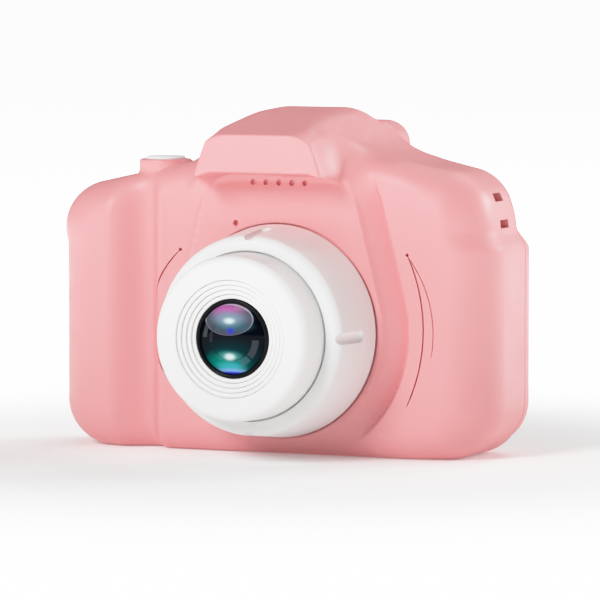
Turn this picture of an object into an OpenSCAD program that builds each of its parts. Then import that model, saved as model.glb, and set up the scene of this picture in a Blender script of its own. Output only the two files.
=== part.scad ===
// Kids digital camera: a small toy camera with a hand grip, a stepped white lens barrel,
// a hump with a brow over the lens, an eyepiece block and a two inch screen on the back.
// The front faces -Y, the base rests on z = 0 and X runs from the grip to the far side.

/* [Body] */
// Width of the body across the grip and the far side
body_w = 80; // [79:0.5:82]
// Height from the base to the top of the hump
body_h = 58.6; // [58:0.2:59.2]
// Depth from the front of the lens barrel to the back of the eyepiece
body_d = 46; // [45.5:0.5:47]
// Thickness of the shell walls
wall = 2; // [1.8:0.1:2.2]
// How far the flat of the back stands in front of the eyepiece
back_step = 2.1; // [1.7:0.1:2.5]
// Depth of the rear shell, from the seam to the back
rear_depth = 5.5; // [5:0.5:6]

/* [Lens] */
// Distance of the lens axis from the middle of the body, towards the far side
lens_x = 2.8; // [2.5:0.1:3.1]
// Height of the lens axis above the base
lens_z = 21.3; // [20.9:0.1:21.7]
// Radius of the outer lens ring at its base
ring_r = 18; // [17.7:0.1:18.4]
// Length of the outer lens ring
ring_len = 12.5; // [12:0.1:13]
// Radius of the inner lens barrel
barrel_r = 14; // [13.8:0.1:14.2]
// Length of the inner lens barrel in front of the ring
barrel_len = 7; // [6.8:0.1:7.2]
// Radius of the black lens face
eye_r = 6.6; // [6.4:0.1:6.7]

/* [Buttons] */
// Radius of the shutter button
shutter_r = 3.4; // [3.3:0.05:3.5]
// Travel of the shutter button
shutter_travel = 0.6; // [0.5:0.1:0.6]
// Radius of the round caps on the back
key_r = 2.7; // [2.6:0.05:2.75]
// Distance of the four arrow caps from the middle cap
key_pitch = 7; // [6.8:0.1:7.2]
// How far a cap on the back stands out
key_proud = 0.9; // [0.8:0.1:1]

/* [Screen] */
// Width of the clear window over the screen
window_w = 44; // [43:0.5:44.5]
// Height of the clear window over the screen
window_h = 34; // [33:0.5:34.5]

/* [Port cover] */
// Height of the soft cover over the sockets
cover_h = 22; // [21.5:0.5:22]
// Width of the soft cover over the sockets
cover_w = 9; // [8.8:0.1:9.2]
// Thickness of the soft cover
cover_t = 1.5; // [1.4:0.1:1.6]

/* [Hidden] */

// places along the depth, from the front to the back
front_y = -body_d / 2;
ring_front_y = front_y + barrel_len;
panel_y = ring_front_y + ring_len;
panel_rise = 1.5;
face_y = panel_y + panel_rise;
back_y = body_d / 2 - back_step;
seam_y = back_y - rear_depth;
half_w = body_w / 2;

// rounding between the outline and the front, and between the outline and the back
front_round = 6;
back_round = 4.5;
inner_round = 3;

// the hump, with its brow over the lens
brow_y = panel_y - 8.6;
brow_z = body_h - 11.2;
ridge_y = 9.4;

// the shutter on top of the grip
shutter_x = -22.3;
shutter_y = 5;
collar_r = shutter_r + 1.1;
collar_top = body_h - 9.4;
shutter_top = collar_top + 0.9;

shutter_stem = collar_top - 7;

// push switches: height of the body and of the pin
switch_h = 2.2;
switch_pin = 0.9;
small_switch_h = 1.6;
small_switch_pin = 0.6;
shutter_switch_z = shutter_stem - shutter_travel - 0.4 - small_switch_h - small_switch_pin;

// the caps on the back: [x, z] of each
pad_x = -25;
pad_z = 20;
top_key_z = 35;
key_travel = 0.5;
key_places = [
    [pad_x + 4, top_key_z], [pad_x - 4, top_key_z],
    [pad_x, pad_z + key_pitch], [pad_x, pad_z - key_pitch],
    [pad_x + key_pitch, pad_z], [pad_x - key_pitch, pad_z], [pad_x, pad_z]
];
key_gap = 0.25;
key_flange = key_r + 0.6;
charge_x = pad_x;
charge_z = 40.6;

// the screen on the back
window_x = 9.5;
window_z = 22.4;
window_t = 1.4;

// the eyepiece window behind the hump: width, height and how deep it lies
eyepiece_w = 11;
eyepiece_h = 5;
eyepiece_z = body_h - 7;
eyepiece_depth = 0.8;

// the screws that hold the shells together: [x, z] of each
screw_places = [[-34.5, 6.7], [-34.5, 37.6], [35, 6.7], [35, 34]];
boss_r = 2.5;
pilot_r = 1.25;
sink = 2.4;
lens_screw_r = 13.5;

// the holes of the front
sound_holes = [for (i = [-2:2]) [lens_x + i * 2.4, body_h - 12.3]];
mic_place = [-5.1, 39.3];
strap_x = half_w - 1.5;
strap_y = 9.5;
strap_holes = [43.95, 39.5];
strap_hole_w = 2.7;
strap_hole_h = 1.4;

// the main circuit board
board_y = 8;
board_t = 1.2;
board_screw_places = [[-24.5, 7.6], [28, 9.5], [28, 35.5]];

// the pocket and sockets under the soft cover
cover_y = 9;
cover_z = 11;
cover_gap = 0.25;
hinge_r = cover_t / 2;
usb_z = 28.4;
card_z = 17.6;

// the terraces of the barrel round the lens
step_w = 0.8;
step_h = 0.3;

// the chips on the main board: [x, z, width, height] of each
chips = [
    [-12, 13, 9, 9], [1, 24, 7, 6], [12, 12, 5, 4],
    [-6, 30, 5, 4], [20, 26, 4, 6], [24, 14, 3, 3]
];

// section of a tongue of the rear shell: it starts on the inside of the wall and steps in past the seam
tongue = [
    [seam_y - 1.6, wall + 0.2], [seam_y - 1.6, wall + 1.1], [seam_y + 2.6, wall + 1.1],
    [seam_y + 2.6, wall - 0.6], [seam_y + 0.1, wall - 0.6], [seam_y + 0.1, wall + 0.2]
];

// ---- shape functions ----
function unit(v) = v / norm(v);

// The arc that rounds corner b between a and c with radius r, as [point, outward normal] pairs
function rounded(a, b, c, r, n) =
    let (
        u = unit(b - a),
        v = unit(c - b),
        turn = atan2(u[0] * v[1] - u[1] * v[0], u * v),
        out = [u[1], -u[0]],
        centre = b - u * r * tan(turn / 2) - r * out
    )
    [for (i = [0:n])
        let (
            k = turn * i / n,
            dir = [out[0] * cos(k) - out[1] * sin(k), out[0] * sin(k) + out[1] * cos(k)]
        )
        [centre + r * dir, dir]];

// Corners of the body seen from the front, anticlockwise: [x, z, radius, arc steps]
body_corners = [
    [-half_w, 0, 9, 8],
    [half_w, 0, 9.5, 8],
    [half_w, body_h - 22, 20, 1],
    [half_w - 0.8, body_h - 10.9, 7, 7],
    [23, body_h - 8, 30, 2],
    [-16, body_h - 9.4, 30, 2],
    [-half_w, body_h - 14.4, 7, 7]
];
corner_count = len(body_corners);
function corner(i) = body_corners[(i + corner_count) % corner_count];
function flat2(p) = [p[0], p[1]];
body_loop = [for (i = [0:corner_count - 1])
    each rounded(flat2(corner(i - 1)), flat2(corner(i)), flat2(corner(i + 1)), corner(i)[2], corner(i)[3])];

// The outline pulled in by d, as [x, z] points
function outline(d) = [for (p = body_loop) p[0] - p[1] * d];
function ring_at(d, y) = [for (p = outline(d)) [p[0], y, p[1]]];

// A closed solid through rings of equal length, from the back ring to the front ring
module skin_solid(rings) {
    n = len(rings[0]);
    m = len(rings);
    sides = [for (k = [0:m - 2]) for (i = [0:n - 1])
        let (j = (i + 1) % n)
        each [[k * n + i, (k + 1) * n + j, k * n + j], [k * n + i, (k + 1) * n + i, (k + 1) * n + j]]];
    polyhedron(
        points = [for (ring = rings) each ring],
        faces = concat(sides, [[for (i = [0:n - 1]) i]], [[for (i = [n - 1:-1:0]) (m - 1) * n + i]]),
        convexity = 10
    );
}

// The body as a rounded slab between two depths, pulled in by skin
module slab(y_front, y_back, r_front, r_back, skin) {
    skin_solid(concat(
        [for (a = [90:-18:0]) ring_at(skin + r_back * (1 - cos(a)), y_back - r_back * (1 - sin(a)))],
        [for (a = [0:15:90]) ring_at(skin + r_front * (1 - cos(a)), y_front + r_front * (1 - sin(a)))]
    ));
}

// Keeps what lies in front of the seam, or behind it
module front_half() {
    intersection() {
        children();
        translate([-100, -100, -100]) cube([200, 100 + seam_y, 300]);
    }
}

module rear_half() {
    intersection() {
        children();
        translate([-100, seam_y, -100]) cube([200, 100, 300]);
    }
}

// Two balls placed evenly either side of the lens axis
module pair(y, z, half, r) {
    for (side = [-1, 1]) translate([lens_x + side * (half - r), y, z]) sphere(r, $fn = 24);
}

// The hump: an upright brow, a roof that rises to the ridge, and sides that spread to the shoulders
module hump() {
    hull() {
        pair(brow_y + 1.2, brow_z + 1.2, 12, 1.2);
        pair(brow_y + 1.1, brow_z + 2.4, 12.6, 1.1);
        pair(brow_y + 1.1, body_h - 5.1, 7.3, 1.1);
        pair(ridge_y, body_h - 3, 9.2, 3);
        pair(seam_y + 0.5, body_h - 3.2, 9, 3);
        pair(panel_y + 2, brow_z, 15, 1.2);
        pair(panel_y + 5, body_h - 9.2, 19.4, 2);
        pair(seam_y + 1, body_h - 9.4, 18.6, 2);
        pair(seam_y + 1, body_h - 13, 14, 1.2);
    }
    // eyepiece block
    hull() {
        pair(back_y - 3, body_h - 6.4, 14.2, 4);
        pair(body_d / 2 - 2.2, body_h - 4.8, 12.6, 2.2);
        pair(body_d / 2 - 2.2, body_h - 11.5, 12.6, 2.2);
        pair(back_y - 3, body_h - 13, 13.4, 2.2);
        pair(seam_y - 2, body_h - 7, 12, 2.2);
    }
}

// The space inside the hump
module hump_hollow() {
    hull() {
        pair(brow_y + 2.9, body_h - 7.8, 9.6, 0.9);
        pair(brow_y + 2.9, body_h - 6.2, 6.6, 0.9);
        pair(panel_y + 6, body_h - 7.8, 13, 0.9);
        pair(panel_y + 6, body_h - 4, 6.6, 0.9);
    }
    hull() {
        pair(panel_y + wall + 1, body_h - 14, 12.4, 1);
        pair(panel_y + wall + 1, body_h - 8.4, 12.4, 1);
        pair(panel_y + 6, body_h - 4.2, 7.4, 1);
        pair(ridge_y, body_h - 3, 8, 1.2);
        pair(seam_y - 0.5, body_h - 3.2, 7.8, 1.2);
        pair(panel_y + 7, body_h - 9.4, 16.4, 1);
        pair(seam_y - 0.5, body_h - 9.6, 15.8, 1);
        pair(seam_y + 1, body_h - 14, 12.4, 1);
    }
    hull() {
        pair(back_y - 3.2, body_h - 6.6, 12, 2);
        pair(back_y - 3.2, body_h - 12, 11.4, 2);
        pair(seam_y - 2, body_h - 6.6, 11, 2);
        pair(seam_y - 2, body_h - 12, 11, 2);
    }
}

// Raised panel under the brow and round the lens, spread by d
module panel(d, y_from, y_to) {
    translate([0, y_to, 0]) rotate([90, 0, 0]) linear_extrude(y_to - y_from) union() {
        polygon([
            [lens_x - 18.8 - d, lens_z], [lens_x + 18.8 + d, lens_z],
            [lens_x + 13.2 + d, body_h - 10], [lens_x - 13.2 - d, body_h - 10]
        ]);
        translate([lens_x, lens_z]) circle(ring_r + 0.8 + d, $fn = 72);
    }
}

// Swelling at the front of the grip, pulled in by skin
module grip(skin) {
    r = 8.6 - skin;
    hull()
        for (z = [8.9, body_h - 23.4])
            translate([-half_w + 8.7, panel_y + 8.6, z]) sphere(r, $fn = 40);
}

// Hollow for the finger tips, between the grip and the panel
module finger_hollow(skin) {
    hull()
        for (z = [-6, body_h - 19])
            translate([-22.8, panel_y - 2.4, z]) sphere(4.9 + skin, $fn = 36);
}

// Screw boss standing on the inside of a face, with a rib out to the side wall
module boss(place, y_from, y_to) {
    bore(place, boss_r, y_from, y_to);
    side = sign(place[0]);
    reach = half_w - wall + 0.4 - abs(place[0]);
    translate([min(place[0], place[0] + side * reach), max(y_from, 5), place[1] - 0.5])
        cube([reach, y_to - max(y_from, 5) - 1, 1]);
}

// A round hole or pin that runs along the depth at [x, z]
module bore(place, r, y_from, y_to, steps = 28) {
    translate([place[0], y_to, place[1]])
        rotate([90, 0, 0])
        cylinder(r = r, h = y_to - y_from, $fn = steps);
}

// Groove cut along an arc of radius r round [x, z], between two angles
module arc_groove(cx, cz, r, a_from, a_to, width, y_from, y_to) {
    steps = 8;
    for (i = [0:steps - 1])
        hull()
            for (k = [i, i + 1])
                let (a = a_from + (a_to - a_from) * k / steps)
                bore([cx + r * cos(a), cz + r * sin(a)], width / 2, y_from, y_to, 8);
}

module front_shell() {
    color([0.93, 0.6, 0.62])
    difference() {
        union() {
            difference() {
                union() {
                    front_half() slab(face_y, back_y, front_round, back_round, 0);
                    front_half() hump();
                    grip(0);
                    panel(0, panel_y, face_y + 1);
                    translate([shutter_x, shutter_y, body_h - 16])
                        cylinder(r = collar_r, h = collar_top - body_h + 16, $fn = 48);
                }
                finger_hollow(0);
                difference() {
                    union() {
                        front_half() slab(face_y + wall, back_y + 9, inner_round, 1, wall);
                        grip(wall);
                    }
                    finger_hollow(wall);
                }
                panel(-wall, panel_y + wall, face_y + wall + 1);
                hump_hollow();
                translate([-100, seam_y, -100]) cube([200, 10, 300]);
            }
            for (place = screw_places) boss(place, face_y + 1, seam_y - 0.1);
            for (place = board_screw_places) bore(place, 2.2, face_y + 1, board_y);
            // wall behind the soft cover
            translate([-half_w + 1, cover_y - cover_w / 2 - 1.6, cover_z - 1.6])
                cube([cover_t + 1.1, cover_w + 2.6, cover_h + 3.2]);
            // block behind the strap holes
            translate([half_w - 7.4, strap_y - strap_hole_w / 2 - 1.4, strap_holes[1] - 2.7])
                cube([5.8, strap_hole_w + 2.8, strap_holes[0] - strap_holes[1] + 4]);
        }
        // opening behind the lens
        bore([lens_x, lens_z], 10.2, panel_y - 3, panel_y + 8, 56);
        for (place = sound_holes) bore(place, 0.6, panel_y - 1, panel_y + 6, 14);
        bore(mic_place, 0.6, panel_y - 1, panel_y + 6, 14);
        for (place = screw_places) bore(place, pilot_r, 3, seam_y + 1, 20);
        for (place = board_screw_places) bore(place, 1.05, 2.5, board_y + 1, 20);
        for (k = [0:2]) bore(lens_screw_place(k), 1.25, panel_y - 1, panel_y + 6, 20);
        // shutter guide, with room for the rim of the button under the roof
        translate([shutter_x, shutter_y, body_h - 20]) cylinder(r = shutter_r + 0.25, h = 20, $fn = 48);
        translate([shutter_x, shutter_y, collar_top - 8]) cylinder(r = shutter_r + 1.1, h = 5, $fn = 48);
        pocket_cut();
        strap_cut();
        crescents();
    }
}

// Pocket for the soft cover, and the openings of the two sockets behind it
module pocket_cut() {
    y0 = cover_y - cover_w / 2 - cover_gap;
    width = cover_w + 2 * cover_gap;
    translate([-half_w - 1, y0, cover_z + hinge_r])
        cube([cover_t + cover_gap + 1, width, cover_h - hinge_r + cover_gap]);
    translate([-half_w + hinge_r, y0, cover_z + hinge_r]) rotate([-90, 0, 0])
        cylinder(r = hinge_r + cover_gap, h = width, $fn = 28);
    translate([-half_w - 1, y0, cover_z - cover_gap - 0.2]) cube([1 + hinge_r, width, 2]);
    translate([-half_w - 1, board_y - 3.4, usb_z - 4.1]) cube([8, 3.3, 8.2]);
    translate([-half_w - 1, board_y - 2.4, card_z - 6.1]) cube([8, 1.9, 12.2]);
}

// Two oblong holes with a bar left between them, joined behind it
module strap_cut() {
    y0 = strap_y - strap_hole_w / 2;
    low = strap_holes[1] - strap_hole_h / 2;
    high = strap_holes[0] + strap_hole_h / 2;
    for (z = strap_holes)
        translate([strap_x - 3.2, y0, z - strap_hole_h / 2]) cube([8, strap_hole_w, strap_hole_h]);
    translate([strap_x - 5, y0, low]) cube([2.6, strap_hole_w, high - low]);
}

// Thin curved lines either side of the lens
module crescents() {
    arc_groove(0.2, 21.9, 28.6, -26.5, 26.5, 0.5, panel_y - 2, face_y + 0.4);
}

module rear_shell() {
    color([0.93, 0.6, 0.62])
    difference() {
        union() {
            difference() {
                union() {
                    rear_half() slab(face_y, back_y, front_round, back_round, 0);
                    rear_half() hump();
                }
                slab(seam_y - 9, back_y - wall, 1, inner_round, wall);
                hump_hollow();
            }
            // tongues that reach into the front shell along the base and the far side
            translate([-24, 0, 0]) rotate([90, 0, 90]) linear_extrude(48) polygon(tongue);
            translate([half_w, 0, 12]) linear_extrude(18) polygon([for (p = tongue) [-p[1], p[0]]]);
            for (place = screw_places) boss(place, seam_y + 0.1, back_y - 1);
            // frame that holds the display
            difference() {
                window_block(47, 37.6, back_y - 3.6, 3, 1);
                window_block(43.4, 34, back_y - 5, 9, 0.5);
            }
        }
        // window recess and the opening in front of the display
        window_block(window_w + 0.2, window_h + 0.2, back_y - window_t, 4, 0.6);
        window_block(window_w - 3.2, window_h - 3.2, back_y - 6, 10, 0.6);
        window_block(43.4, 34, back_y - 5, 5 - wall, 0.5);
        for (place = key_places) bore(place, key_r + key_gap, back_y - 6, back_y + 1, 36);
        bore([charge_x, charge_z], 0.85, back_y - 6, back_y + 1, 16);
        for (place = screw_places) {
            bore(place, pilot_r, seam_y - 1, back_y + 1, 20);
            bore(place, 2.25, back_y - sink - 1.2, back_y + 1, 28);
        }
        // recess of the eyepiece window
        eyepiece_block(0.1, 4);
    }
}

// ---- buttons ----
module shutter_button() {
    color([0.95, 0.95, 0.94])
    translate([shutter_x, shutter_y, 0]) rotate_extrude($fn = 64) polygon([
        [0, shutter_stem], [1.4, shutter_stem], [1.4, collar_top - 4.2],
        [shutter_r + 0.8, collar_top - 4.2], [shutter_r + 0.8, collar_top - 3.3],
        [shutter_r, collar_top - 3.3], [shutter_r, shutter_top - 0.5],
        [shutter_r - 0.15, shutter_top - 0.2], [shutter_r - 0.5, shutter_top], [0, shutter_top]
    ]);
}

// Cap on the back: a round head, a flange behind the wall and a stem towards its switch
module key(place) {
    top = back_y + key_proud;
    inner = back_y - wall - 0.3;
    stem = board_y + board_t + switch_h + switch_pin + key_travel + 0.3;
    color([0.95, 0.95, 0.94])
    translate([place[0], 0, place[1]]) rotate([90, 0, 0]) rotate_extrude($fn = 48) polygon([
        [0, -stem], [1, -stem], [1, -(inner - 0.9)], [key_flange, -(inner - 0.9)], [key_flange, -inner],
        [key_r, -inner], [key_r, -(top - 0.4)], [key_r - 0.4, -top], [0, -top]
    ]);
}

// ---- soft cover over the sockets ----
module port_cover() {
    color([0.9, 0.55, 0.58]) {
        translate([-half_w + hinge_r, cover_y - cover_w / 2, cover_z + hinge_r]) rotate([-90, 0, 0])
            cylinder(r = hinge_r, h = cover_w, $fn = 32);
        translate([-half_w, cover_y - cover_w / 2, cover_z + hinge_r])
            cube([cover_t, cover_w, cover_h - hinge_r]);
    }
}

// ---- lens ----
// Turns a profile of [radius, y] points about the lens axis
module turned(points) {
    translate([lens_x, 0, lens_z]) rotate([-90, 0, 0]) rotate_extrude($fn = 96) polygon(points);
}

function arc2(cx, cy, r, a0, a1, n) = [for (i = [0:n])
    let (a = a0 + (a1 - a0) * i / n)
    [cx + r * cos(a), cy + r * sin(a)]];

function lens_screw_place(k) =
    let (a = 150 + 120 * k)
    [lens_x + lens_screw_r * cos(a), lens_z + lens_screw_r * sin(a)];

module lens_ring() {
    edge = 1.8;
    front_r = ring_r - 1.2;
    slot_tilt = atan((ring_r - front_r) / ring_len);
    color([0.95, 0.95, 0.94])
    difference() {
        turned(concat(
            [[9.2, panel_y - 3], [front_r - 2, panel_y - 3], [front_r - 2, ring_front_y + 1.8],
             [barrel_r - 2, ring_front_y + 1.8], [barrel_r - 2, ring_front_y]],
            arc2(front_r - edge, ring_front_y + edge, edge, -90, 0, 5),
            [[ring_r, panel_y - 0.5], [ring_r - 0.2, panel_y], [10.15, panel_y], [10.15, panel_y + 2.4],
             [9.2, panel_y + 2.4]]
        ));
        // four slots along the rim
        for (a = [0:90:270])
            translate([lens_x, 0, lens_z]) rotate([0, a, 0]) translate([0, ring_front_y - 1, front_r + 0.3])
                rotate([slot_tilt - 90, 0, 0]) cylinder(r = 1.05, h = 9, $fn = 24);
        for (k = [0:2]) bore(lens_screw_place(k), 0.95, panel_y - 2.4, panel_y + 1, 20);
    }
}

// Stepped barrel: four terraces lead down to the black lens face
module lens_barrel() {
    edge = 1.5;
    bore_r = eye_r + 0.05;
    tail = ring_front_y + 2.4;
    color([0.97, 0.97, 0.96])
    turned(concat(
        [[barrel_r, ring_front_y], [barrel_r - 2.1, ring_front_y], [barrel_r - 2.1, tail],
         [barrel_r - 3.6, tail], [barrel_r - 3.6, front_y + 3.6], [8, front_y + 3.6], [8, tail],
         [5, tail], [5, front_y + 4.6], [bore_r, front_y + 4.6], [bore_r, front_y + 4 * step_h]],
        [for (k = [0:3]) each [
            [bore_r + (k + 1) * step_w, front_y + (4 - k) * step_h],
            [bore_r + (k + 1) * step_w, front_y + (3 - k) * step_h]]],
        arc2(barrel_r - 0.2 - edge, front_y + edge, edge, -90, 0, 5)
    ));
}

module lens_bezel() {
    color([0.03, 0.03, 0.035])
    turned([
        [4.9, front_y + 4.5], [eye_r, front_y + 4.5], [eye_r, front_y + 1.2],
        [eye_r - 0.35, front_y + 0.95], [eye_r - 0.7, front_y + 1.3],
        [eye_r - 0.7, front_y + 2.0], [4.9, front_y + 2.6]
    ]);
}

module front_glass() {
    r = eye_r - 0.75;
    dome = 0.9;
    sphere_r = (r * r + dome * dome) / (2 * dome);
    half = asin(r / sphere_r);
    color([0.2, 0.25, 0.35, 0.35])
    turned(concat(
        [[0, front_y + 1.9], [r, front_y + 1.9]],
        [for (i = [0:8])
            let (a = half * (1 - i / 8))
            [sphere_r * sin(a), front_y + 1.3 - dome + sphere_r * (1 - cos(a))]]
    ));
}

module aperture_plate() {
    color([0.05, 0.05, 0.06])
    turned([[2.6, front_y + 3.2], [4.8, front_y + 2.8], [4.8, front_y + 4.4], [2.6, front_y + 4.4]]);
}

module lens_element_front() {
    color([0.15, 0.5, 0.5, 0.35])
    turned([[0, front_y + 4.5], [3.6, front_y + 5.0], [3.6, front_y + 6.2], [0, front_y + 6.6]]);
}

module lens_element_rear() {
    color([0.3, 0.35, 0.6, 0.35])
    turned([[0, front_y + 8.2], [2.6, front_y + 7.8], [2.6, front_y + 9.2], [0, front_y + 9.6]]);
}

module lens_holder() {
    color([0.06, 0.06, 0.07]) {
        turned([
            [3.7, front_y + 4.7], [4.8, front_y + 4.7], [4.8, front_y + 13], [2, front_y + 13],
            [2, front_y + 10], [2.7, front_y + 10], [2.7, front_y + 7], [3.7, front_y + 7]
        ]);
        translate([lens_x - 4.25, front_y + 13, lens_z - 4.25]) difference() {
            cube([8.5, 2.6, 8.5]);
            translate([1.2, -0.1, 1.2]) cube([6.1, 3, 6.1]);
        }
    }
}

module image_sensor() {
    color([0.1, 0.13, 0.12])
    translate([lens_x - 2.8, front_y + 14.6, lens_z - 2.8]) cube([5.6, 1, 5.6]);
}

module sensor_board() {
    color([0.1, 0.3, 0.2])
    translate([lens_x - 4.5, front_y + 15.6, lens_z - 4.5]) cube([9, 0.8, 9]);
}

// Ribbon from the sensor board down and back to the main board
module sensor_flex() {
    t = 0.2;
    y0 = front_y + 16.4;
    end = board_y - 1.4;
    color([0.75, 0.45, 0.1])
    translate([lens_x - 3, 0, 0]) rotate([90, 0, 90]) linear_extrude(6) polygon([
        [y0, lens_z + 3], [y0 + t, lens_z + 3], [y0 + t, lens_z - 4], [0, lens_z - 7.5],
        [end - 1.5, lens_z - 11], [end, lens_z - 11], [end, lens_z - 11 - t],
        [end - 1.6, lens_z - 11 - t], [-0.1, lens_z - 7.5 - t], [y0, lens_z - 4 - t]
    ]);
}

// ---- electronics ----
module main_board() {
    color([0.05, 0.32, 0.2])
    difference() {
        translate([0, board_y + board_t, 0]) rotate([90, 0, 0]) linear_extrude(board_t) polygon([
            [-31.4, 5], [31.4, 5], [31.4, 39], [-31.4, 39],
            [-31.4, 33.8], [-36, 33.8], [-36, 10.4], [-31.4, 10.4]
        ]);
        for (place = board_screw_places) bore(place, 1.1, board_y - 1, board_y + 3, 20);
    }
}

module board_chips() {
    color([0.08, 0.08, 0.09])
    for (chip = chips)
        translate([chip[0], board_y + board_t, chip[1]]) cube([chip[2], 1, chip[3]]);
}

module flex_connectors() {
    color([0.85, 0.83, 0.78]) {
        translate([lens_x - 4, board_y - 1.4, lens_z - 12.4]) cube([8, 1.4, 3]);
        translate([window_x - 6, board_y + board_t, 34.6]) cube([12, 1.2, 3]);
        translate([-27, board_y - 2, 33]) cube([4, 2, 4]);
        translate([12, board_y - 2, 34]) cube([4, 2, 4]);
    }
}

module tact_switch(size, base, pin) {
    translate([-size / 2, -size / 2, 0]) cube([size, size, base]);
    translate([0, 0, base]) cylinder(r = size * 0.24, h = pin, $fn = 24);
}

module key_switches() {
    color([0.12, 0.12, 0.13])
    for (place = key_places)
        translate([place[0], board_y + board_t, place[1]])
            rotate([-90, 0, 0])
            tact_switch(4, switch_h, switch_pin);
}

module shutter_board() {
    color([0.05, 0.32, 0.2])
    translate([shutter_x - 6, shutter_y - 3.6, shutter_switch_z - 1])
        cube([12, board_y - shutter_y + 3.6, 1]);
}

module shutter_switch() {
    color([0.12, 0.12, 0.13])
    translate([shutter_x, shutter_y - 0.4, shutter_switch_z])
        tact_switch(4.4, small_switch_h, small_switch_pin);
}

module usb_socket() {
    color([0.75, 0.76, 0.78])
    difference() {
        translate([-36, board_y - 2.9, usb_z - 3.9]) cube([5.6, 2.9, 7.8]);
        translate([-37, board_y - 2.5, usb_z - 3.4]) cube([5.6, 2.1, 6.8]);
    }
}

module card_socket() {
    color([0.75, 0.76, 0.78])
    difference() {
        translate([-35.6, board_y - 2.1, card_z - 6.6]) cube([14.7, 2.1, 13.2]);
        translate([-36.6, board_y - 1.8, card_z - 5.8]) cube([15.3, 1.3, 11.6]);
    }
}

module memory_card() {
    color([0.08, 0.08, 0.09])
    translate([-37.4, board_y - 1.65, card_z - 5.5]) cube([15, 1, 11]);
}

module battery() {
    color([0.72, 0.74, 0.76]) {
        translate([-20.6, 0.8, 8.6]) cube([19.8, 5.2, 26.4]);
        translate([-20.6, 1.4, 35]) cube([19.8, 4, 0.4]);
    }
}

module battery_pad() {
    color([0.15, 0.15, 0.16])
    translate([-19, 6, 13]) cube([16.6, 2, 20]);
}

// A round lead through hand-placed points
module lead(points, r) {
    for (i = [0:len(points) - 2]) {
        v = points[i + 1] - points[i];
        translate(points[i]) {
            sphere(r, $fn = 12);
            rotate([0, acos(v[2] / norm(v)), atan2(v[1], v[0])])
                cylinder(r = r * 0.96, h = norm(v), $fn = 12);
        }
    }
    translate(points[len(points) - 1]) sphere(r, $fn = 12);
}

module battery_leads() {
    color([0.7, 0.1, 0.1])
    for (k = [0, 1])
        lead([
            [-12 - 2 * k, 3.4, 35.8], [-13 - 2 * k, 3.4, 36.8],
            [-23 - 1.5 * k, 3.9, 36.8], [-24.2 - 1.5 * k, 5.6, 35.6]
        ], 0.4);
}

module speaker() {
    color([0.1, 0.1, 0.11])
    translate([lens_x, panel_y + wall + 0.4, 45.6]) rotate([-90, 0, 0]) difference() {
        cylinder(r = 7, h = 3.6, $fn = 64);
        translate([0, 0, -0.1]) cylinder(r = 5.8, h = 0.7, $fn = 64);
    }
}

module speaker_leads() {
    color([0.1, 0.1, 0.1])
    for (k = [0, 1])
        lead([
            [lens_x + 3, 2.95, 41 + 2 * k], [lens_x + 7, 3.8, 40.4 + 1.4 * k],
            [13.2 + 1.5 * k, 5.2, 38.2], [13.2 + 1.5 * k, 5.6, 36]
        ], 0.4);
}

module microphone() {
    color([0.7, 0.7, 0.72])
    bore(mic_place, 2, panel_y + wall + 1.2, panel_y + wall + 2.8, 40);
}

module microphone_boot() {
    color([0.1, 0.1, 0.11])
    translate([mic_place[0], panel_y + wall + 0.1, mic_place[1]]) rotate([-90, 0, 0]) difference() {
        cylinder(r = 2.6, h = 2.6, $fn = 40);
        translate([0, 0, 1.1]) cylinder(r = 2.02, h = 2, $fn = 40);
        translate([0, 0, -0.1]) cylinder(r = 0.7, h = 2, $fn = 24);
    }
}

// ---- screen ----
module window_block(w, h, y0, t, r) {
    translate([window_x, y0 + t, window_z]) rotate([90, 0, 0]) linear_extrude(t)
        union() {
            square([w - 2 * r, h], center = true);
            square([w, h - 2 * r], center = true);
            for (sx = [-1, 1]) for (sz = [-1, 1])
                translate([sx * (w / 2 - r), sz * (h / 2 - r)]) circle(r, $fn = 32);
        }
}

module screen_window() {
    color([0.6, 0.65, 0.7, 0.35])
    window_block(window_w, window_h, back_y - window_t + 0.1, window_t - 0.1, 0.05);
}

module screen_border() {
    color([0.02, 0.02, 0.025])
    difference() {
        window_block(window_w, window_h, back_y - window_t, 0.1, 0.05);
        window_block(window_w - 3.4, window_h - 3.4, back_y - window_t - 1, 2, 0.5);
    }
}

module display_glass() {
    color([0.03, 0.03, 0.04]) window_block(43, 33.6, back_y - wall - 1.2, 0.9, 0.3);
}

module display_backlight() {
    color([0.75, 0.76, 0.78]) window_block(43, 33.6, back_y - wall - 3, 1.8, 0.3);
}

module display_gasket() {
    color([0.1, 0.1, 0.1])
    difference() {
        window_block(43, 33.6, back_y - wall - 0.3, 0.3, 0.3);
        window_block(41, 31.4, back_y - wall - 1, 2, 0.3);
    }
}

module display_flex() {
    start = board_y + board_t + 1.2;
    end = back_y - wall - 2.2;
    t = 0.2;
    color([0.75, 0.45, 0.1])
    translate([window_x - 5, 0, 0]) rotate([90, 0, 90]) linear_extrude(10) polygon([
        [start, 35], [start + t, 35], [start + t, 39.8], [end - t, 40.6],
        [end - t, 39.25], [end, 39.25], [end, 40.9], [start, 40]
    ]);
}

module charge_light() {
    color([0.95, 0.9, 0.85, 0.5])
    bore([charge_x, charge_z], 0.8, back_y - 3.4, back_y + 0.1, 24);
}

// Block in the place of the eyepiece window, grown by gap on its sides
module eyepiece_block(gap, depth) {
    translate([lens_x, body_d / 2 - eyepiece_depth, eyepiece_z])
        rotate([-90, 0, 0])
        linear_extrude(depth)
        square([eyepiece_w + 2 * gap, eyepiece_h + 2 * gap], center = true);
}

module eyepiece_window() {
    color([0.03, 0.03, 0.035]) eyepiece_block(0, eyepiece_depth - 0.2);
}

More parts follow.
